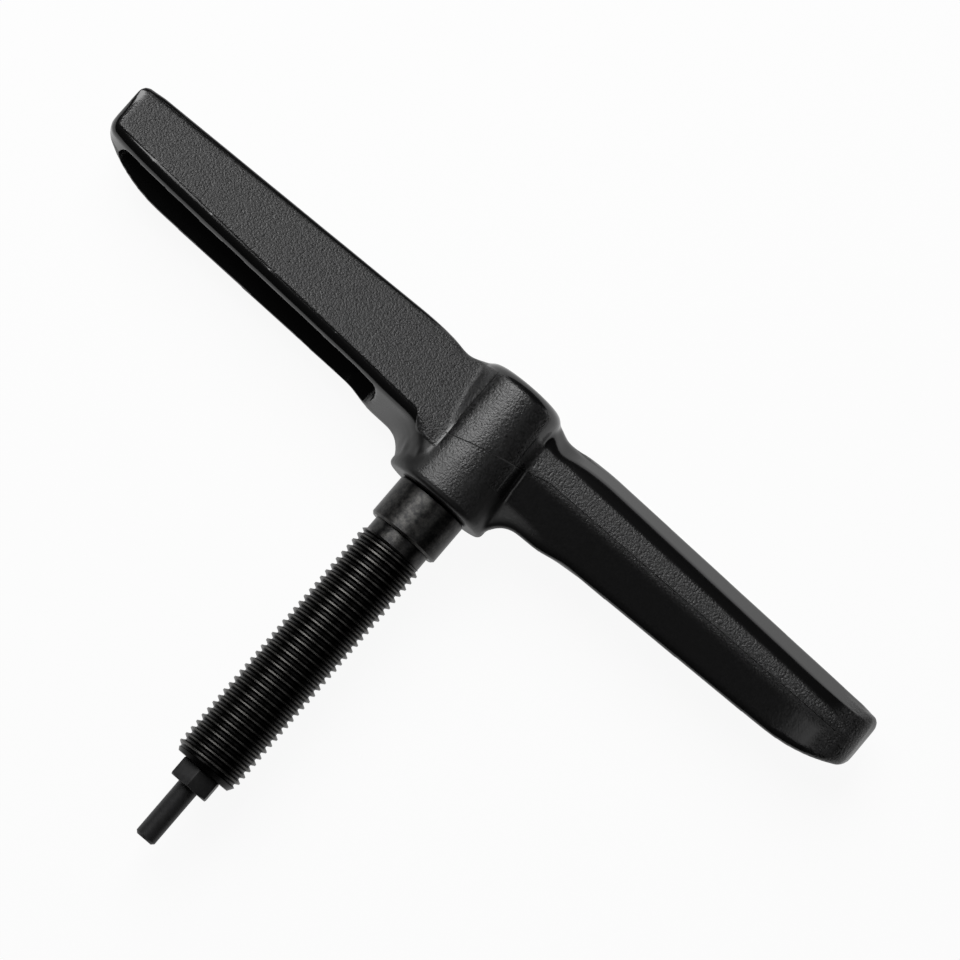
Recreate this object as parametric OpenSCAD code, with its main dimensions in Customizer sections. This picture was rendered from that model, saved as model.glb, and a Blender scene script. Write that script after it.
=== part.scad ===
// Drive screw of a bicycle chain tool: a moulded T-handle on a turned steel
// spindle, with a captive push pin held in the spindle's end by a hexagon
// retainer. It lies flat: X runs along the arms, Y along the screw towards the
// handle, Z up. The origin is on the screw's axis, where the thread meets the neck.

/* [Thread and spindle] */
// Outside diameter of the drive thread
thread_d = 9.525; // [8.6:0.005:11]
// Length of the drive thread, end chamfer included
thread_len = 37.3; // [25:0.1:50]
// How far the chamfer runs along the thread's end
end_chamfer_len = 1.1; // [0.5:0.1:2]
// How far the chamfer cuts in from the thread's outside
end_chamfer_depth = 0.7; // [0.3:0.05:0.9]
// Diameter of the plain neck between thread and collar
neck_d = 8.5; // [7.6:0.05:9.5]
// Length of the neck
neck_len = 2; // [1:0.1:4]
// Diameter of the collar that the handle seats on
collar_d = 10.3; // [10:0.05:12]
// Length of the collar
collar_len = 6.3; // [4:0.1:10]
// Chamfer on the collar's lower edge
collar_chamfer = 0.3; // [0.1:0.05:0.35]
// Width across flats of the head that is moulded into the handle
head_flats = 7.6; // [6.4:0.1:8.6]
// Length of that head
head_len = 13; // [9:0.5:15]
// Depth of the groove that locks the head in the moulding
groove_depth = 0.8; // [0.4:0.1:1.2]
// Width of the groove
groove_w = 2.4; // [1:0.1:4]
// Distance from the collar to the groove
groove_at = 6; // [4:0.5:7]

/* [Pin retainer] */
// Width across flats of the retainer's hexagon
hex_flats = 5.5; // [5.2:0.1:7]
// Height of the hexagon
hex_h = 2.9; // [2:0.1:5]
// Height of the turned chamfer at either end of the hexagon
hex_chamfer = 0.25; // [0.1:0.05:0.5]
// Turn of the hexagon about the screw's axis
hex_turn = 37; // [0:1:59]
// Diameter of the retainer's screwed stub
stub_d = 5; // [4.6:0.05:5.1]
// Length of the stub
stub_len = 5.5; // [4:0.1:8]
// Widening of the retainer's bore at its mouth
mouth_flare = 0.45; // [0.2:0.05:0.6]

/* [Push pin] */
// Diameter of the push pin
pin_d = 3; // [2.4:0.05:3.3]
// Length of the pin that stands out of the retainer
pin_reach = 8.6; // [5:0.1:12]
// Chamfer round the pin's tip
tip_chamfer = 0.35; // [0.1:0.05:0.6]
// Diameter of the pin's head
pin_head_d = 4; // [3.8:0.05:4.2]
// Length of the pin's head
pin_head_len = 1.8; // [1:0.1:3]

/* [Clearances] */
// Radial clearance of the pin in the retainer
pin_clearance = 0.05; // [0.02:0.01:0.1]
// Radial clearance of the pin's head in the spindle
head_clearance = 0.1; // [0.05:0.01:0.2]
// Play of the pin along its axis, in front of its head and again behind it
pin_play = 0.1; // [0.05:0.01:0.3]
// Radial clearance of the stub in the spindle
stub_clearance = 0.03; // [0.01:0.01:0.06]
// Clearance round the spindle's head in the handle
socket_clearance = 0.02; // [0.01:0.01:0.05]

/* [Hub] */
// Height of the hub
hub_h = 19; // [17:0.1:24]
// Diameter of the hub at its base
hub_base_d = 15.4; // [14.6:0.1:18]
// Diameter of the hub at its top
hub_top_d = 13; // [12.4:0.1:15]
// Radius round the hub's top edge
hub_top_r = 2; // [1.4:0.1:2.6]
// Radius round the hub's lower edge
hub_base_r = 0.7; // [0.4:0.1:1.2]

/* [Arms] */
// Length of the handle from tip to tip
handle_len = 126.2; // [110:0.5:150]
// Height of the mould's parting line above the hub's base
parting_h = 11.1; // [10.5:0.1:11.7]
// Lean of the flat panel that the fingers push on
panel_lean = 22; // [10:1:28]
// Distance from the parting plane to the panel, at the screw's axis and at the tip
panel_root = 4.1; // [3.6:0.1:4.6]
// The same distance at the arm's tip
panel_tip = 3.5; // [3:0.1:4.2]
// Distance from the parting plane to the arm's other side, at the screw's axis
back_root = 3.3; // [2.8:0.1:3.8]
// The same distance at the arm's tip
back_tip = 3; // [2.6:0.1:3.4]
// Draft of the arm's other side above the parting line
back_draft = 7; // [1:1:10]
// Slope of an arm's top face across its thickness, at the screw's axis
top_slope_root = 43; // [30:1:46]
// The same slope at the tip
top_slope_tip = 47; // [36:1:48]
// Height of the panel's upper corner at the screw's axis
top_root = 19.3; // [18:0.1:19.8]
// Height of the panel's upper corner at the tip
top_tip = 17.6; // [16:0.1:18.2]
// Dip of the top face towards the hub
top_dip = 3.2; // [0:0.1:4]
// Length over which the top face dips
top_dip_len = 17; // [14:0.5:24]
// Height of the panel's lower corner at the screw's axis
panel_low_root = 5.6; // [5:0.1:6.4]
// Height of the panel's lower corner at the tip
panel_low_tip = 8.8; // [7:0.1:9.4]
// Height of the other side's lower corner at the screw's axis
back_low_root = 3.8; // [3.2:0.1:4.4]
// Height of the other side's lower corner at the tip, without the upturned nose
back_low_tip = 5.1; // [4.2:0.1:5.8]
// Length of the upturned nose at the tip
nose_len = 13; // [8:0.5:18]
// Rise of the underside in the nose
nose_rise = 3.8; // [1:0.1:4.6]
// How far the nose draws the arm's other side in
nose_draw = 1.6; // [0:0.1:2]
// Extra depth of the solid web between the hub and the pocket
web_drop = 0.8; // [0:0.05:1]
// Radius between an arm's underside and the hub
root_fillet = 3.4; // [1.4:0.1:3.6]
// How far an arm's top climbs up the hub
crown_rise = 1.8; // [0:0.1:2]
// Distance from the screw's axis at which it starts to climb
crown_start = 9.1; // [8.2:0.1:11]

/* [Arm edges] */
// Radius along the panel's upper edge
panel_top_r = 1.4; // [0.6:0.1:1.5]
// Radius along the other side's upper edge
back_top_r = 2.5; // [1:0.1:2.8]
// Radius along the other side's lower edge
back_low_r = 0.8; // [0.4:0.1:1.6]
// Radius along the panel's lower edge
panel_low_r = 1.4; // [0.6:0.1:1.8]
// Radius round the tip
tip_r = 1.3; // [0.6:0.1:2]

/* [Pockets] */
// Thickness of the wall between pocket and panel
pocket_panel_wall = 1.5; // [1.2:0.1:2.4]
// Thickness of the wall between pocket and the arm's other side
pocket_back_wall = 1.2; // [1:0.1:1.8]
// Depth of solid material over the pocket
pocket_roof = 4.6; // [4:0.1:7]
// Distance from the screw's axis to the pocket
pocket_start = 14.6; // [13.5:0.1:22]
// Wall between the pocket and the arm's tip
pocket_tip_wall = 3.1; // [2.4:0.1:6]
// Length over which the pocket's round ends close
pocket_end_len = 1.2; // [0.6:0.1:3]

/* [Hidden] */
$fn = 96;
cut = 0.1;
hexagon = 6;
thread_r = thread_d / 2;
hub_base_y = neck_len + collar_len;
arm_len = handle_len / 2;
pin_r = pin_d / 2;
head_r = pin_head_d / 2;
stub_r = stub_d / 2;
hex_r = hex_flats / 2 / cos(30);
hex_face_y = -thread_len - hex_h;
head_front = stub_len + pin_play;
head_back = head_front + pin_head_len;
// A twist drill leaves a cone of 118 degrees at the bottom of its hole
drill_cone = tan(31);
fillet_end = hub_base_d / 2 + root_fillet;
web_from = pocket_start - 1;
web_to = pocket_start + 4;
nose_power = 2.4;
corner_steps = 4;
fillet_row = 2;
crown_end = hub_top_d / 2 - hub_top_r + 0.5;
under_steps = 6;
fillet_from = hub_top_d / 4;
fillet_steps = 10;
web_steps = 4;
span_steps = 4;
nose_steps = 8;
pocket_steps = 10;

// Turns what is drawn along Z so that it lies along the screw, towards the handle
module along_screw() rotate([-90, 0, 0]) children();

// Turns what is drawn along Z so that it lies along the screw, away from the handle
module towards_pin() rotate([90, 0, 0]) children();

// Goes smoothly from 0 at low to 1 at high
function ease(x, low, high) =
    let (t = max(0, min(1, (x - low) / (high - low)))) t * t * (3 - 2 * t);

// Value at x on an arm of what is root at the screw's axis and tip at the arm's end
function along_arm(x, root, tip) = root + (tip - root) * x / arm_len;

// How far the nose has closed at x: 0 where it starts, 1 at the tip
function nose(x) = pow(max(0, (x - arm_len + nose_len) / nose_len), nose_power);

// Place of the panel's plane at x, across the arm, at height y over the hub's base
function panel_z(x, y) =
    -along_arm(x, panel_root, panel_tip) - (parting_h - y) * tan(panel_lean);

// Place of the arm's other side at x on the parting line
function back_z(x) = along_arm(x, back_root, back_tip) - nose_draw * nose(x);

// Height of the panel's upper corner at x: it dips towards the hub, then climbs up it
function panel_top(x) =
    along_arm(x, top_root, top_tip) - top_dip * pow(max(0, 1 - x / top_dip_len), 2)
    + crown_rise * (1 - ease(x, crown_end, crown_start));

function panel_low(x) = along_arm(x, panel_low_root, panel_low_tip);

function back_low(x) =
    along_arm(x, back_low_root, back_low_tip)
    - web_drop * (1 - ease(x, web_from, web_to))
    + nose_rise * nose(x);

// Height at which the top face meets the drafted other side, which stays tall enough
// for the rounding between them
function back_top(x) =
    let (run = back_z(x) - panel_z(x, panel_top(x)),
         drop = tan(along_arm(x, top_slope_root, top_slope_tip)), lean = tan(back_draft),
         fall = (run - (panel_top(x) - parting_h) * lean) * drop / (1 - drop * lean))
        max(panel_top(x) - fall, parting_h + back_top_r);

// How far an arm's underside is drawn down at distance r from the screw's axis,
// by the round fillet between it and the hub
function fillet_drop(r) =
    let (run = max(0, min(root_fillet, fillet_end - r)))
        root_fillet - sqrt(root_fillet * root_fillet - run * run);

function unit(v) = v / norm(v);

// Points from p towards q in equal steps, without either
function between(p, q, count) = [for (i = [1:count - 1]) p + (q - p) * i / count];

// Points that round the corner at p between its neighbours with radius r,
// or the corner itself where r is 0
function rounded_corner(before, p, after, r) =
    r == 0 ? [p] :
    let (to_before = unit(before - p), to_after = unit(after - p),
         half = acos(to_before * to_after) / 2,
         centre = p + unit(to_before + to_after) * r / sin(half),
         from = p + to_before * r / tan(half) - centre,
         start = atan2(from[1], from[0]))
        [for (i = [0:corner_steps])
            let (a = start + (180 - 2 * half) * i / corner_steps)
                centre + r * [cos(a), sin(a)]];

// Closed outline through corners, each rounded with its radius in radii
function rounded_outline(corners, radii) =
    let (count = len(corners))
        [for (i = [0:count - 1])
            each rounded_corner(corners[(i + count - 1) % count], corners[i],
                                corners[(i + 1) % count], radii[i])];

// Outline across an arm at x, as [across, height] points, counterclockwise
function arm_outline(x) =
    let (top = panel_top(x), low = panel_low(x), high = back_top(x), row = low + fillet_row,
         outline = rounded_outline(
             [[panel_z(x, top), top],
              [panel_z(x, row), row],
              [panel_z(x, low), low],
              [back_z(x), back_low(x)],
              [back_z(x), parting_h],
              [back_z(x) - (high - parting_h) * tan(back_draft), high]],
             [panel_top_r, 0, panel_low_r, back_low_r, 0, back_top_r]),
         front_end = 2 * corner_steps + 2)
        concat([for (i = [0:front_end]) outline[i]],
               between(outline[front_end], outline[front_end + 1], under_steps),
               [for (i = [front_end + 1:len(outline) - 1]) outline[i]]);

// Puts an outline at x, with its underside drawn down round the hub
function filleted_ring(x, outline) =
    [for (p = outline)
        let (drop = p[1] < panel_low(x) + fillet_row ? fillet_drop(norm([x, p[0]])) : 0)
            [x, drop > 0 ? max(p[1] - drop, hub_base_r) : p[1], p[0]]];

// Puts an outline at x and draws it in by inset all round
function ring(x, outline, inset = 0) =
    let (low = [min([for (p = outline) p[0]]), min([for (p = outline) p[1]])],
         high = [max([for (p = outline) p[0]]), max([for (p = outline) p[1]])],
         middle = (low + high) / 2, half = (high - low) / 2)
        [for (p = outline)
            [x, middle[1] + (p[1] - middle[1]) * (1 - inset / half[1]),
             middle[0] + (p[0] - middle[0]) * (1 - inset / half[0])]];

// Joins rings of points, each with as many points as the first, into one solid
module loft(rings) {
    count = len(rings[0]);
    last = len(rings) - 1;
    polyhedron(
        points = [for (ring = rings) each ring],
        faces = concat(
            [[for (j = [count - 1:-1:0]) j]],
            [[for (j = [0:count - 1]) last * count + j]],
            [for (i = [0:last - 1]) for (j = [0:count - 1])
                let (k = (j + 1) % count)
                    [i * count + j, i * count + k, (i + 1) * count + j]],
            [for (i = [0:last - 1]) for (j = [0:count - 1])
                let (k = (j + 1) % count)
                    [i * count + k, (i + 1) * count + k, (i + 1) * count + j]]));
}

// Values from first to last in equal steps, without first
function steps(first, last, count) =
    [for (i = [1:count]) first + (last - first) * i / count];

// Arm along +X, with heights over the hub's base, rounded edges and upturned nose
module arm_body() {
    nose_from = arm_len - nose_len;
    nose_to = arm_len - tip_r;
    stations = concat([0, fillet_from],
                      steps(fillet_from, fillet_end, fillet_steps),
                      steps(fillet_end, web_from, 2),
                      steps(web_from, web_to, web_steps),
                      steps(web_to, nose_from, span_steps),
                      steps(nose_from, nose_to, nose_steps));
    loft(concat(
        [for (x = stations) filleted_ring(x, arm_outline(x))],
        [for (i = [1:corner_steps])
            let (a = 90 * i / corner_steps, x = nose_to + tip_r * sin(a))
                ring(x, arm_outline(x), tip_r * (1 - cos(a)))]));
}

// Outline across the pocket at x, narrowed to the share open of its full width
function pocket_outline(x, open) =
    let (wall = pocket_panel_wall / cos(panel_lean),
         roof = panel_top(x) - pocket_roof,
         rim = panel_low(x),
         mouth = back_low_root - web_drop - 1,
         inner_back = back_z(x) - pocket_back_wall,
         inner_roof = panel_z(x, roof) + wall,
         inner_rim = panel_z(x, rim) + wall,
         middle = (inner_back + inner_roof) / 2)
        rounded_outline(
            [for (p = [[inner_roof, roof], [inner_rim, rim], [inner_rim, mouth],
                       [inner_back, mouth], [inner_back, roof]])
                [middle + (p[0] - middle) * open, p[1]]],
            [for (share = [1, 0, 0, 0, 1]) share * (inner_back - inner_roof) * open / 3]);

// The hollow in an arm's underside, which is open all along and has round ends
module arm_pocket() {
    first = pocket_start;
    last = arm_len - pocket_tip_wall;
    closing = [for (i = [0:corner_steps]) pocket_end_len * (1 - cos(90 * i / corner_steps))];
    stations = concat(
        [for (c = closing) first + c],
        steps(first + pocket_end_len, last - pocket_end_len, pocket_steps),
        [for (i = [1:corner_steps]) last - closing[corner_steps - i]]);
    loft([for (x = stations)
        let (from_end = min(x - first, last - x, pocket_end_len) / pocket_end_len,
             open = max(sqrt(max(0, 1 - pow(1 - from_end, 2))), cut))
            ring(x, pocket_outline(x, open))]);
}

module arm() {
    translate([0, hub_base_y, 0])
        difference() {
            arm_body();
            arm_pocket();
        }
}

// Drafted boss between the arms, rounded at both edges
module hub() {
    base = hub_base_d / 2;
    top = hub_top_d / 2;
    along_screw()
        translate([0, 0, hub_base_y])
            rotate_extrude()
                polygon(concat(
                    [[0, 0]],
                    [for (i = [0:corner_steps * 2])
                        let (a = 90 * i / corner_steps / 2)
                            [base - hub_base_r + hub_base_r * sin(a),
                             hub_base_r - hub_base_r * cos(a)]],
                    [for (i = [0:corner_steps * 2])
                        let (a = 90 * i / corner_steps / 2)
                            [top - hub_top_r + hub_top_r * cos(a),
                             hub_h - hub_top_r + hub_top_r * sin(a)]],
                    [[0, hub_h]]));
}

// Head on the spindle that the handle is moulded over, larger all round by gap
module spindle_head(gap) {
    along_screw()
        translate([0, 0, hub_base_y - cut])
            difference() {
                cylinder(h = head_len + cut + gap, r = head_flats / 2 / cos(30) + gap,
                         $fn = hexagon);
                translate([0, 0, groove_at + cut + gap])
                    rotate_extrude()
                        translate([head_flats / 2 - groove_depth + gap, 0])
                            square([head_flats, groove_w - 2 * gap]);
            }
}

module handle() {
    color([0.07, 0.07, 0.075])
        difference() {
            union() {
                hub();
                arm();
                rotate([0, 180, 0]) arm();
            }
            spindle_head(socket_clearance);
        }
}

module spindle() {
    color([0.16, 0.16, 0.17])
        difference() {
            union() {
                along_screw()
                    rotate_extrude()
                        polygon([
                            [0, -thread_len],
                            [thread_r - end_chamfer_depth, -thread_len],
                            [thread_r, end_chamfer_len - thread_len],
                            [thread_r, 0],
                            [neck_d / 2, 0],
                            [neck_d / 2, neck_len],
                            [collar_d / 2 - collar_chamfer, neck_len],
                            [collar_d / 2, neck_len + collar_chamfer],
                            [collar_d / 2, hub_base_y],
                            [0, hub_base_y]]);
                spindle_head(0);
            }
            along_screw() translate([0, 0, -thread_len]) pin_seat_bore();
        }
}

// Blind hole in the spindle's end: tapped for the stub, then drilled for the pin's head
module pin_seat_bore() {
    drill_r = head_r + head_clearance;
    depth = head_back + pin_play;
    translate([0, 0, -cut])
        cylinder(h = stub_len + pin_play + cut, r = stub_r + stub_clearance);
    cylinder(h = depth, r = drill_r);
    translate([0, 0, depth])
        cylinder(h = drill_r * drill_cone, r1 = drill_r, r2 = 0);
}

module pin_retainer() {
    bore_r = pin_r + pin_clearance;
    color([0.19, 0.19, 0.2])
        towards_pin()
            difference() {
                union() {
                    translate([0, 0, thread_len])
                        intersection() {
                            rotate([0, 0, hex_turn]) cylinder(h = hex_h, r = hex_r, $fn = hexagon);
                            hexagon_turning();
                        }
                    translate([0, 0, thread_len - stub_len])
                        cylinder(h = stub_len + cut, r = stub_r);
                }
                translate([0, 0, thread_len - stub_len - cut])
                    cylinder(h = stub_len + hex_h + 2 * cut, r = bore_r);
                translate([0, 0, thread_len + hex_h - mouth_flare])
                    cylinder(h = mouth_flare + cut, r1 = bore_r,
                             r2 = bore_r + mouth_flare + cut);
            }
}

// Turned blank of the hexagon, which takes its corners off at both ends
module hexagon_turning() {
    slope = tan(30);
    face_r = hex_r - hex_chamfer / slope;
    blank_r = hex_r + cut;
    run = (blank_r - face_r) * slope;
    rotate_extrude()
        polygon([
            [0, 0],
            [face_r, 0],
            [blank_r, run],
            [blank_r, hex_h - run],
            [face_r, hex_h],
            [0, hex_h]]);
}

module push_pin() {
    color([0.2, 0.2, 0.21])
        along_screw()
            rotate_extrude()
                polygon([
                    [0, hex_face_y - pin_reach],
                    [pin_r - tip_chamfer, hex_face_y - pin_reach],
                    [pin_r, hex_face_y - pin_reach + tip_chamfer],
                    [pin_r, head_front - thread_len],
                    [head_r, head_front - thread_len],
                    [head_r, head_back - thread_len],
                    [0, head_back - thread_len]]);
}

handle();
spindle();
pin_retainer();
push_pin();
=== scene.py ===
import math
import bpy
from mathutils import Matrix, Vector


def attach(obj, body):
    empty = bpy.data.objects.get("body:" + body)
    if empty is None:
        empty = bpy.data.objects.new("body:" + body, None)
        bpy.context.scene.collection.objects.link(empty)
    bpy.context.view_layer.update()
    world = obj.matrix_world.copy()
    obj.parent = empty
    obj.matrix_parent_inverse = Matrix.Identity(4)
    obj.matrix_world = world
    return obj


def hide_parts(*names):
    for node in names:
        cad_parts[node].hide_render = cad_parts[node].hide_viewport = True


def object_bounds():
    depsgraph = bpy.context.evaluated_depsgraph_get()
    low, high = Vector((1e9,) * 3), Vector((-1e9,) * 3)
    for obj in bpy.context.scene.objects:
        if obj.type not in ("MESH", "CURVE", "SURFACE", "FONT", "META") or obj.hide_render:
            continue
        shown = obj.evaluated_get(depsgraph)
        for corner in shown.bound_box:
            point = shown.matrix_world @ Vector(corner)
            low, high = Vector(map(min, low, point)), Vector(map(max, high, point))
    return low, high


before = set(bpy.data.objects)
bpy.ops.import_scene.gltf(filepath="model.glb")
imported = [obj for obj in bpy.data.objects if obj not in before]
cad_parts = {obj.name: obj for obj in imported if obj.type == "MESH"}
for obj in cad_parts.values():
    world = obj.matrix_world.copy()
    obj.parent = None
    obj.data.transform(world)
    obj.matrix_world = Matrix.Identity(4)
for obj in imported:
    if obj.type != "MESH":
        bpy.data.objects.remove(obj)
cad_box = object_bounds()

# ---------------------------------------------------------------- camera
# The part was photographed lying flat, with the screw pointing to the lower
# left of the picture and the camera a few degrees off the vertical, towards
# the push pin and the left arm.
MM = 0.001
pixels_per_mm = 7.7442
camera_height = 616.14
picture_px = 960
off_centre_px = (0.333, -0.626)
aim = Vector((2.71, 14.33, 0))
turn, nod, roll = (math.radians(a) for a in (40.58, 5.629, 2.541))
stance = (Matrix.Rotation(-roll, 3, "Y") @ Matrix.Rotation(nod, 3, "X")
          @ Matrix.Rotation(turn, 3, "Z"))
shifted = stance.col[0] * off_centre_px[0] + stance.col[1] * off_centre_px[1]
camera_at = (aim + shifted / pixels_per_mm + stance.col[2] * camera_height) * MM

bpy.ops.object.select_all(action="DESELECT")
bpy.ops.object.camera_add(location=camera_at, rotation=stance.to_euler())
camera = bpy.context.object
camera.data.sensor_width = 36
camera.data.lens = camera.data.sensor_width * camera_height * pixels_per_mm / picture_px
camera.data.clip_start = 0.01
bpy.context.scene.camera = camera
bpy.context.scene.view_settings.view_transform = "Standard"


# ---------------------------------------------------------------- handle
# One injection moulding in black nylon: hub and two pitched arms. The broad
# faces are grained by spark erosion of the mould and their borders polished;
# the undersides are cored out so that the walls stay even.
def only(piece):
    """Selects one object alone and makes it active."""
    bpy.ops.object.select_all(action="DESELECT")
    piece.select_set(True)
    bpy.context.view_layer.objects.active = piece


def copy_of_solid(node, name):
    """Copy of a CAD solid with its loose triangles joined."""
    only(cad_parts[node])
    bpy.ops.object.duplicate()
    piece = bpy.context.object
    piece.name = name
    bpy.ops.object.mode_set(mode="EDIT")
    bpy.ops.mesh.select_all(action="SELECT")
    bpy.ops.mesh.remove_doubles(threshold=1e-6)
    bpy.ops.object.mode_set(mode="OBJECT")
    return piece


def select_faces(piece, wanted):
    """Enters edit mode with the faces selected whose middle, in mm, is wanted."""
    only(piece)
    bpy.ops.object.mode_set(mode="EDIT")
    bpy.ops.mesh.select_mode(type="FACE")
    bpy.ops.mesh.select_all(action="DESELECT")
    bpy.ops.object.mode_set(mode="OBJECT")
    for face in piece.data.polygons:
        face.select = wanted(face.center / MM)
    bpy.ops.object.mode_set(mode="EDIT")


def close_openings():
    """In edit mode, caps each open rim of the mesh and turns its faces outward."""
    bpy.ops.mesh.select_mode(type="EDGE")
    bpy.ops.mesh.select_all(action="DESELECT")
    bpy.ops.mesh.select_non_manifold()
    bpy.ops.mesh.edge_face_add()
    bpy.ops.mesh.select_all(action="SELECT")
    bpy.ops.mesh.normals_make_consistent(inside=False)
    bpy.ops.object.mode_set(mode="OBJECT")


def apply_modifier(piece, kind, **settings):
    """Adds a modifier with these settings and applies it."""
    bpy.context.view_layer.objects.active = piece
    modifier = piece.modifiers.new(kind.title(), kind)
    for key, value in settings.items():
        setattr(modifier, key, value)
    bpy.ops.object.modifier_apply(modifier=modifier.name)


def combine(piece, tool, operation):
    """Boolean of a piece with a tool object, which is used up."""
    apply_modifier(piece, "BOOLEAN", operation=operation, object=tool, solver="EXACT")
    bpy.data.objects.remove(tool)


class Shade:
    """A value or colour that varies over the surface. Sums on it add Math nodes."""

    def __init__(self, tree, socket=None):
        self.tree = tree
        self.socket = socket

    def node(self, kind, settings, sockets, output=0):
        """Adds a node, sets it up, fills its sockets and gives one of its outputs."""
        made = self.tree.nodes.new(kind)
        for key, value in settings.items():
            setattr(made, key, value)
        for key, value in sockets.items():
            if isinstance(value, Shade):
                self.tree.links.new(value.socket, made.inputs[key])
            else:
                made.inputs[key].default_value = value
        return Shade(self.tree, made.outputs[output])

    def math(self, operation, *values):
        return self.node("ShaderNodeMath", {"operation": operation}, dict(enumerate(values)))

    def __add__(self, other): return self.math("ADD", self, other)
    def __radd__(self, other): return self.math("ADD", other, self)
    def __sub__(self, other): return self.math("SUBTRACT", self, other)
    def __rsub__(self, other): return self.math("SUBTRACT", other, self)
    def __mul__(self, other): return self.math("MULTIPLY", self, other)
    def __rmul__(self, other): return self.math("MULTIPLY", other, self)

    def greater(self, other):
        return self.math("MAXIMUM", self, other)

    def size(self):
        return self.math("ABSOLUTE", self)

    def step(self, low, high):
        """0 below low, 1 above high, and smooth between."""
        return self.node("ShaderNodeMapRange", {"interpolation_type": "SMOOTHSTEP"},
                         {"Value": self, "From Min": low, "From Max": high})

    def mix(self, low, high):
        """Colour low where this is 0 and high where it is 1."""
        return self.node("ShaderNodeMix", {"data_type": "RGBA"},
                         {"Factor": self, 6: low, 7: high}, 2)

    def noise(self, scale, detail=2.0, roughness=0.5):
        """Noise over the piece, where self is a place on it."""
        return self.node("ShaderNodeTexNoise", {},
                         {"Vector": self, "Scale": scale, "Detail": detail,
                          "Roughness": roughness})

    def bump(self, strength, distance):
        """Normals of a relief with this height."""
        return self.node("ShaderNodeBump", {}, {"Strength": strength, "Distance": distance,
                                                "Height": self})


def new_finish(name):
    """A material, its shader, and the place on the piece in mm as x, y, z and vector."""
    finish = bpy.data.materials.new(name)
    finish.use_nodes = True
    start = Shade(finish.node_tree)
    place = start.node("ShaderNodeTexCoord", {}, {}, "Object")
    place = start.node("ShaderNodeVectorMath", {"operation": "SCALE"},
                       {0: place, "Scale": 1 / MM})
    split = start.node("ShaderNodeSeparateXYZ", {}, {0: place}).socket.node
    x, y, z = (Shade(finish.node_tree, socket) for socket in split.outputs)
    return finish, finish.node_tree.nodes["Principled BSDF"], place, x, y, z


def feed(finish, shader, **sockets):
    """Sets or links sockets of the shader, with _ for the blanks in their names."""
    for key, value in sockets.items():
        socket = shader.inputs[key.replace("_", " ")]
        if isinstance(value, Shade):
            finish.node_tree.links.new(value.socket, socket)
        else:
            socket.default_value = value


def dress(piece, finish, body, node):
    """Gives a piece its finish and body, and lets it stand for its CAD node."""
    piece.data.materials.clear()
    piece.data.materials.append(finish)
    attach(piece, body)
    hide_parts(node)


# The solid's own sizes in mm, read on the right arm. The panel leans and the far
# side is drafted, both from the height of the parting line.
hub_base, arm_len, parting_h = 8.3, 63.1, 11.1
panel_lean, back_draft = 22, 7
nose_start, nose_len = 50.1, 13
wall, rim, mouth = 1.3, 0.95, 0.15


def along(root, tip, out):
    """A size that changes evenly from the screw's axis to the arm's end."""
    return root + (tip - root) * out / arm_len


def nose(out):
    """0 along the arm, rising to 1 over its curved end."""
    return max(0, (out - nose_start) / nose_len) ** 2.4


def arm_place(spot):
    """A place on either arm as on the right one: out, up from the hub, to its back."""
    side = 1 if spot.x > 0 else -1
    return side * spot.x, spot.y - hub_base, side * spot.z


def in_pocket(spot):
    """Whether a face with this middle belongs to the hollow in an arm."""
    out, up, back = arm_place(spot)
    lean = math.tan(math.radians(panel_lean))
    upright = along(-4.1, -3.5, out)
    panel = upright - (parting_h - up) * lean
    rear = along(3.3, 3.0, out) - 1.6 * nose(out)
    panel_low = along(5.6, 8.8, out)
    back_low = along(3.8, 5.1, out) + 3.8 * nose(out)
    share = (rear - back) / (rear - upright + (parting_h - panel_low) * lean)
    underside = back_low + (panel_low - back_low) * share
    return (14 < out < 61 and back - panel > wall and rear - back > rim
            and underside + mouth < up < along(15.2, 13.5, out))


def in_socket(spot):
    """Whether a face with this middle belongs to the seat of the spindle's head."""
    return math.hypot(spot.x, spot.z) < 4.55 and hub_base + 0.02 < spot.y < hub_base + 14


def arc_height(across, start, height, radius, slope):
    """Height of a rounding that starts at a place and height on a slope of this angle."""
    centre = start - radius * math.sin(slope)
    floor = height - radius * math.cos(slope)
    return floor + math.sqrt(max(0, radius ** 2 - (across - centre) ** 2))


def top_profile(across, out, slope, edge_r, back_r, lift):
    """Height of an arm's top at a place across it, out from the screw's axis."""
    lean, fall, draft = (math.tan(math.radians(a)) for a in (panel_lean, slope, back_draft))
    edge_turn = math.radians(90 + panel_lean - slope)
    back_turn = math.radians(90 + back_draft + slope)
    slope = math.radians(slope)
    rear = along(3.3, 3.0, out)
    high = along(19.3, 17.6, out) - 3.2 * max(0, 1 - out / 17) ** 2 + lift
    edge = along(-4.1, -3.5, out) + (high - parting_h) * lean
    drop = (rear - edge - (high - parting_h) * draft) * fall / (1 - fall * draft)
    back = rear - (high - drop - parting_h) * draft
    # Each corner is rounded between the points at which its arc leaves the faces
    cut = edge_r / math.tan(edge_turn / 2)
    end = edge + cut * math.cos(slope)
    if across < edge - cut * math.sin(math.radians(panel_lean)):
        return high + (across - edge) / lean
    if across < end:
        return arc_height(across, end, high - (end - edge) * fall, edge_r, slope)
    cut = back_r / math.tan(back_turn / 2)
    start = back - cut * math.cos(slope)
    if across < start:
        return high - (across - edge) * fall
    if across < back + cut * draft:
        return arc_height(across, start, high - (start - edge) * fall, back_r, slope)
    return high - drop - (across - back) / draft


def ease(value, low, high):
    """0 below low, 1 above high, and smooth between."""
    share = max(0.0, min(1.0, (value - low) / (high - low)))
    return share * share * (3 - 2 * share)


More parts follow.
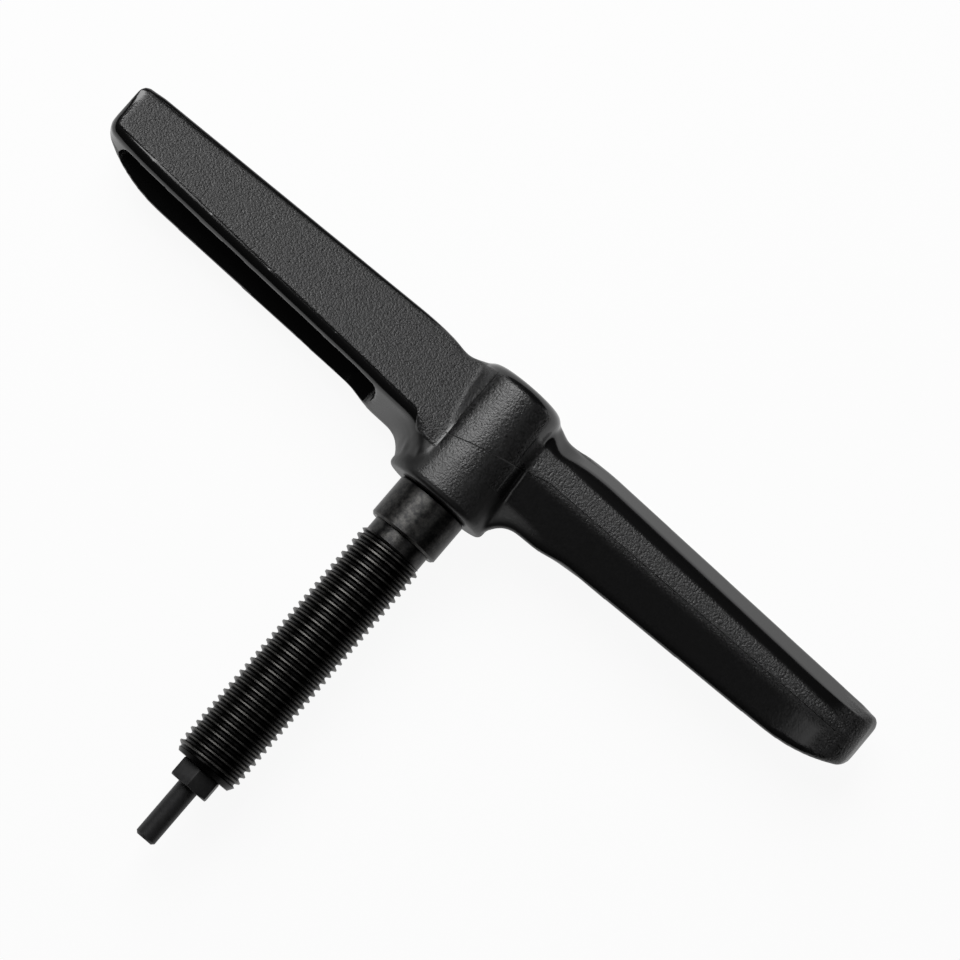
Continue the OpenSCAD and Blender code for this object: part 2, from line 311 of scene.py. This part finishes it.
def crisp_top(spot):
    """How far a place on an arm's top moves up to give it its crisp upper edge."""
    out, up, back = arm_place(spot)
    if up < 13 or out < 8.5 or out > 62.5:
        return 0
    solid = top_profile(back, out, along(43, 47, out), edge_r=1.4, back_r=2.5, lift=0)
    crisp = top_profile(back, out, along(30, 36, out), edge_r=0.5, back_r=2.3, lift=-0.8)
    reshape = max(-0.8, min(0.6, crisp - solid))
    # On the top itself the facets of the solid are levelled out as well
    on_top = ease(back, -1.4, -0.9) * (1 - ease(back, 1.8, 2.4))
    level = max(-0.3, min(0.3, solid - up)) * on_top
    return ((reshape + level) * ease(up, 13, 14.5) * ease(out, 8.5, 12)
            * (1 - ease(out, 59.5, 62.5)))


def rounded_end(spot):
    """How far a place on the parting line's side moves in, to round the arm's end."""
    out, up, back = arm_place(spot)
    radius, beyond = 4.2, min(3.6, max(0, out - 59.5))
    return (radius - math.sqrt(radius ** 2 - beyond ** 2)) * ease(back, -2.5, 1.5)


handle = copy_of_solid("handle", "moulded_handle")
select_faces(handle, lambda spot: in_pocket(spot) or in_socket(spot))
bpy.ops.mesh.separate(type="SELECTED")
bpy.ops.object.mode_set(mode="OBJECT")
core = [piece for piece in bpy.context.selected_objects if piece != handle][0]
core.name = "core"
only(handle)
bpy.ops.object.mode_set(mode="EDIT")
close_openings()

# The core reaches out below its mouths, so that it cuts cleanly through them
only(core)
bpy.ops.object.mode_set(mode="EDIT")
bpy.ops.mesh.select_mode(type="EDGE")
bpy.ops.mesh.select_all(action="DESELECT")
bpy.ops.mesh.select_non_manifold()
bpy.ops.mesh.extrude_region_move(TRANSFORM_OT_translate={"value": (0, -2.5 * MM, 0)})
close_openings()

# The faceted solid becomes an even skin that takes small roundings
apply_modifier(handle, "REMESH", mode="VOXEL", voxel_size=0.3 * MM, use_smooth_shade=True)
apply_modifier(handle, "SMOOTH", factor=0.5, iterations=4)
for corner in handle.data.vertices:
    spot = corner.co / MM
    corner.co.y += crisp_top(spot) * MM
    corner.co.z -= math.copysign(rounded_end(spot), spot.x) * MM
combine(handle, core, "DIFFERENCE")
only(handle)
bpy.ops.object.shade_smooth_by_angle(angle=math.radians(62))

nylon, nylon_shader, place, x, y, z = new_finish("black_nylon")
up = y - hub_base
# Both arms are read as the right one: reach runs outwards and depth towards
# the side with the parting line
side = x.math("SIGN", x)
reach = x.size()
depth = z * side

# Grained panel, between the smooth borders along its edges. Near the hub the
# grain runs down to the fillet.
panel_low = 7.3 + (reach - 11.6) * 0.052 - (9.8 - reach).step(0.0, 2.2) * 2.0
panel_high = 17.0 - (reach - 25.8) * 0.034
panel = ((up - panel_low).step(-0.2, 0.2) * (panel_high - up).step(-0.2, 0.2)
         * (0.0 - depth).step(0.0, 0.5) * (62.2 - reach).step(-0.3, 0.4))
# Grained other side, up to the rounding under the top strip; it fades out below
# the parting line
back_high = 14.2 - (reach - 12.9) * 0.027
back = (((up - 11.0).step(-1.4, 1.6) * 0.9 + 0.1) * (back_high - up).step(-0.5, 0.4)
        * (depth - 1.2).step(0.0, 0.5))
tip = ((reach - 56.0).step(0.0, 3.5) * (depth + 0.4).step(0.0, 0.8)
       * (up - 5.0).step(0.0, 1.5) * 0.8)
arms = panel.greater(back.greater(tip)) * (reach - 4.75).step(-0.4, 0.4)
hub = ((4.2 - reach).step(-0.9, 0.9) * (up - 0.9).step(-0.2, 0.2)
       * (17.7 - up).step(-0.25, 0.25) * 0.68)
grain = arms.greater(hub)
# The undersides by the hub are dull, without a grain
dull = (5.6 - up).step(-0.6, 0.6) * (16.0 - reach).step(0.0, 8.0) * 0.8

fine = place.noise(3.5, 2.0, 0.6)
coarse = place.noise(1.0, 2.0, 0.5)
relief = (fine * 1.2 + coarse * 0.2) * grain
# Thin line where the mould's halves meet: level on the right arm, and sloping
# down across the hub
line_up = 11.2 + (x - 9.7) * (x - 9.7).math("LESS_THAN", x, 9.7) * 0.278
line = (0.10 - (up - line_up).size()).step(0.0, 0.09)
line = line * (z - 2.2).step(-0.1, 0.1) * (x + 4.6).step(-0.2, 0.2)
tone = grain * (fine - 0.42) * 2.2 + 0.1
roughness = 0.17 + (grain * ((fine - 0.5) * 0.55 + 0.28)).greater(dull * 0.3)
feed(nylon, nylon_shader, Specular_IOR_Level=0.62, Roughness=roughness,
     Base_Color=tone.mix((0.001, 0.001, 0.001, 1), (0.024, 0.024, 0.025, 1)),
     Normal=(relief - line * 1.2).bump(1.0, 0.12 * MM))
dress(handle, nylon, "screw", "handle")

# ---------------------------------------------------------------- spindle
# Turned steel bar in black oxide: rolled right-hand thread, plain neck, collar
# that the moulding seats on, and the bore that takes the pin and its retainer.
pitch = 25.4 / 24
thread_r = 4.7625
root_r = 4.24
thread_len = 37.3
crest = 0.2 * pitch
flank = (thread_r - root_r) * math.tan(math.radians(30))


def drawn_line(name, outline):
    """Enters edit mode with a line drawn through [radius, height] points in mm."""
    bpy.ops.object.select_all(action="DESELECT")
    bpy.ops.mesh.primitive_plane_add(size=1, location=(0, 0, 0))
    piece = bpy.context.object
    piece.name = name
    bpy.ops.object.mode_set(mode="EDIT")
    bpy.ops.mesh.select_mode(type="VERT")
    bpy.ops.mesh.select_all(action="SELECT")
    bpy.ops.mesh.merge(type="CENTER")
    radius, height = outline[0]
    bpy.ops.transform.translate(value=(radius * MM, height * MM, 0))
    for (r0, h0), (r1, h1) in zip(outline, outline[1:]):
        bpy.ops.mesh.extrude_region_move(
            TRANSFORM_OT_translate={"value": ((r1 - r0) * MM, (h1 - h0) * MM, 0)})
    bpy.ops.mesh.select_all(action="SELECT")
    return piece


def turned(name, outline, steps=96):
    """Solid turned about the screw's axis from [radius, height] points in mm."""
    piece = drawn_line(name, outline)
    bpy.ops.mesh.spin(steps=steps, angle=math.tau, center=(0, 0, 0), axis=(0, 1, 0))
    bpy.ops.mesh.select_all(action="SELECT")
    bpy.ops.mesh.remove_doubles(threshold=2e-6)
    bpy.ops.mesh.normals_make_consistent(inside=False)
    bpy.ops.object.mode_set(mode="OBJECT")
    return piece


# One turn's profile is wound up the bar, past both ends, then trimmed
low = -thread_len - 2 * pitch
steps_per_turn = 72
thread = drawn_line("threaded_spindle", [
    (root_r, low), (root_r, low + pitch - crest - 2 * flank),
    (thread_r, low + pitch - crest - flank), (thread_r, low + pitch - flank),
    (root_r, low + pitch)])
bpy.ops.object.mode_set(mode="OBJECT")
apply_modifier(thread, "SCREW", axis="Y", angle=math.tau, screw_offset=pitch * MM,
               iterations=math.ceil(thread_len / pitch) + 4, steps=steps_per_turn,
               render_steps=steps_per_turn,
               use_merge_vertices=False)
bpy.ops.object.mode_set(mode="EDIT")
bpy.ops.mesh.select_all(action="SELECT")
bpy.ops.mesh.remove_doubles(threshold=2e-6)
close_openings()

combine(thread, turned("envelope", [(0, -thread_len), (4.06, -thread_len), (4.8, -36.1),
                                    (4.8, -0.35), (4.3, 0.1), (0, 0.1)]), "INTERSECT")
combine(thread, turned("shank", [(0, -6), (3.9, -6), (3.9, -0.05), (4.25, -0.05),
                                 (4.25, 2), (4.85, 2), (5.15, 2.3), (5.15, 8), (4.85, 8.3),
                                 (0, 8.3)]), "UNION")
combine(thread, turned("head", [(0, 8), (4.38, 8), (4.38, 14.3), (3, 14.3), (3, 16.65),
                                (4.38, 16.65), (4.38, 21.3), (0, 21.3)], 6), "UNION")
combine(thread, turned("bore", [(0, -38), (2.98, -38), (2.98, -37.3), (2.53, -36.85),
                                (2.53, -29.7), (0, -28.2)]), "DIFFERENCE")
only(thread)
bpy.ops.object.shade_smooth_by_angle(angle=math.radians(24))

steel, steel_shader, place, x, y, z = new_finish("black_oxide_steel")
wear = place.noise(1.3, 5.0, 0.7)
turning = x.node("ShaderNodeVectorMath", {"operation": "MULTIPLY"},
                 {0: place, 1: (0.15, 9.0, 0.15)}).noise(1.0, 3.0, 0.6)
# Painted highlight and painted shade: the thread's crests are painted lighter and its
# grooves and flanks darker, on top of the oxide's real wear
radius = x.math("SQRT", x * x + z * z)
threaded = (-0.3 - y).step(0.0, 0.2)
crest_highlight_mask = (radius - 4.62).step(0.0, 0.1)
painted_groove_shade_factor = 1.0 - threaded * (1.0 - crest_highlight_mask) * 0.75
wear_and_crest_highlight = wear.step(0.35, 0.7) * 0.7 + threaded * crest_highlight_mask * 0.9
oxide = wear_and_crest_highlight.mix((0.024, 0.024, 0.0245, 1), (0.085, 0.083, 0.079, 1))
# The base colour is darkened in the thread's grooves and flanks as painted shade
feed(steel, steel_shader,
     Base_Color=painted_groove_shade_factor.mix((0.004, 0.004, 0.004, 1), oxide),
     Metallic=1.0, Roughness=0.25 + wear * 0.2, Normal=turning.bump(0.25, 0.02 * MM))
dress(thread, steel, "screw", "spindle")

# ---------------------------------------------------------------- pin retainer
# Small steel screw with a hexagon head and a bore for the pin, in matte oxide.
retainer = copy_of_solid("pin_retainer", "retainer")
charcoal, charcoal_shader, place, x, y, z = new_finish("charcoal_oxide")
patina = place.noise(1.6, 4.0, 0.6)
feed(charcoal, charcoal_shader,
     Base_Color=patina.mix((0.026, 0.026, 0.0265, 1), (0.05, 0.05, 0.051, 1)),
     Metallic=0.7, Roughness=0.42 + patina * 0.12)
apply_modifier(retainer, "BEVEL", width=0.08 * MM, segments=2, limit_method="ANGLE",
               angle_limit=math.radians(20))
only(retainer)
bpy.ops.object.shade_smooth_by_angle(angle=math.radians(20))
dress(retainer, charcoal, "screw", "pin_retainer")

# ---------------------------------------------------------------- push pin
# Hardened and ground pin with a chamfered tip, held in the spindle by its head.
pin = copy_of_solid("push_pin", "pin")
apply_modifier(pin, "BEVEL", width=0.08 * MM, segments=2, limit_method="ANGLE",
               angle_limit=math.radians(30))
only(pin)
bpy.ops.object.shade_smooth_by_angle(angle=math.radians(20))
dress(pin, charcoal, "pin", "push_pin")

# ---------------------------------------------------------------- table and light
# White table under the part, and two soft boxes over it: the main one leans
# towards the left arm's upper side, a weak one towards the right arm.
bpy.ops.object.select_all(action="DESELECT")
bpy.ops.mesh.primitive_plane_add(size=3, location=(0, 0, cad_box[0].z - 0.05 * MM))
table = bpy.context.object
table.name = "table"
paper, paper_shader, place, x, y, z = new_finish("white_table")
# The camera sees it white, and gloss nearly so; what is left keeps the shadow
seen = (x.node("ShaderNodeLightPath", {}, {}, "Is Camera Ray") * 0.93
        + x.node("ShaderNodeLightPath", {}, {}, "Is Glossy Ray") * 0.65
        + x.node("ShaderNodeLightPath", {}, {}, "Is Transmission Ray") * 0.93)
glow = x.node("ShaderNodeEmission", {}, {"Color": (1, 1, 1, 1), "Strength": 1.0})
feed(paper, paper_shader, Base_Color=(0.8, 0.8, 0.8, 1), Roughness=0.9,
     Specular_IOR_Level=0.0)
shown = x.node("ShaderNodeMixShader", {},
               {0: seen, 1: Shade(x.tree, paper_shader.outputs[0]), 2: glow})
x.tree.links.new(shown.socket, x.tree.nodes["Material Output"].inputs["Surface"])
table.data.materials.append(paper)


def soft_box(name, right, up_screw, distance, size, radiance):
    """Lamp off the vertical by degrees towards the right arm and along the screw."""
    towards = Vector((math.tan(math.radians(right)), math.tan(math.radians(up_screw)), 1))
    towards.normalize()
    upward = towards.cross(Vector((1, 0, 0))).normalized()
    facing = Matrix((upward.cross(towards), upward, towards)).transposed()
    middle = Vector((0, 8, 0)) * MM
    bpy.ops.object.light_add(type="AREA", location=middle + towards * distance,
                             rotation=facing.to_euler())
    lamp = bpy.context.object
    lamp.name = name
    lamp.data.shape = "RECTANGLE"
    lamp.data.size, lamp.data.size_y = size
    lamp.data.energy = radiance * math.pi * size[0] * size[1]


soft_box("key_box", -34, 31, 0.6, (0.42, 0.50), 6.6)
soft_box("side_box", 27, 10, 0.8, (0.24, 0.24), 0.9)

world = bpy.data.worlds.new("dim_room")
bpy.context.scene.world = world
world.use_nodes = True
world.node_tree.nodes["Background"].inputs["Color"].default_value = (1, 1, 1, 1)
world.node_tree.nodes["Background"].inputs["Strength"].default_value = 0.02
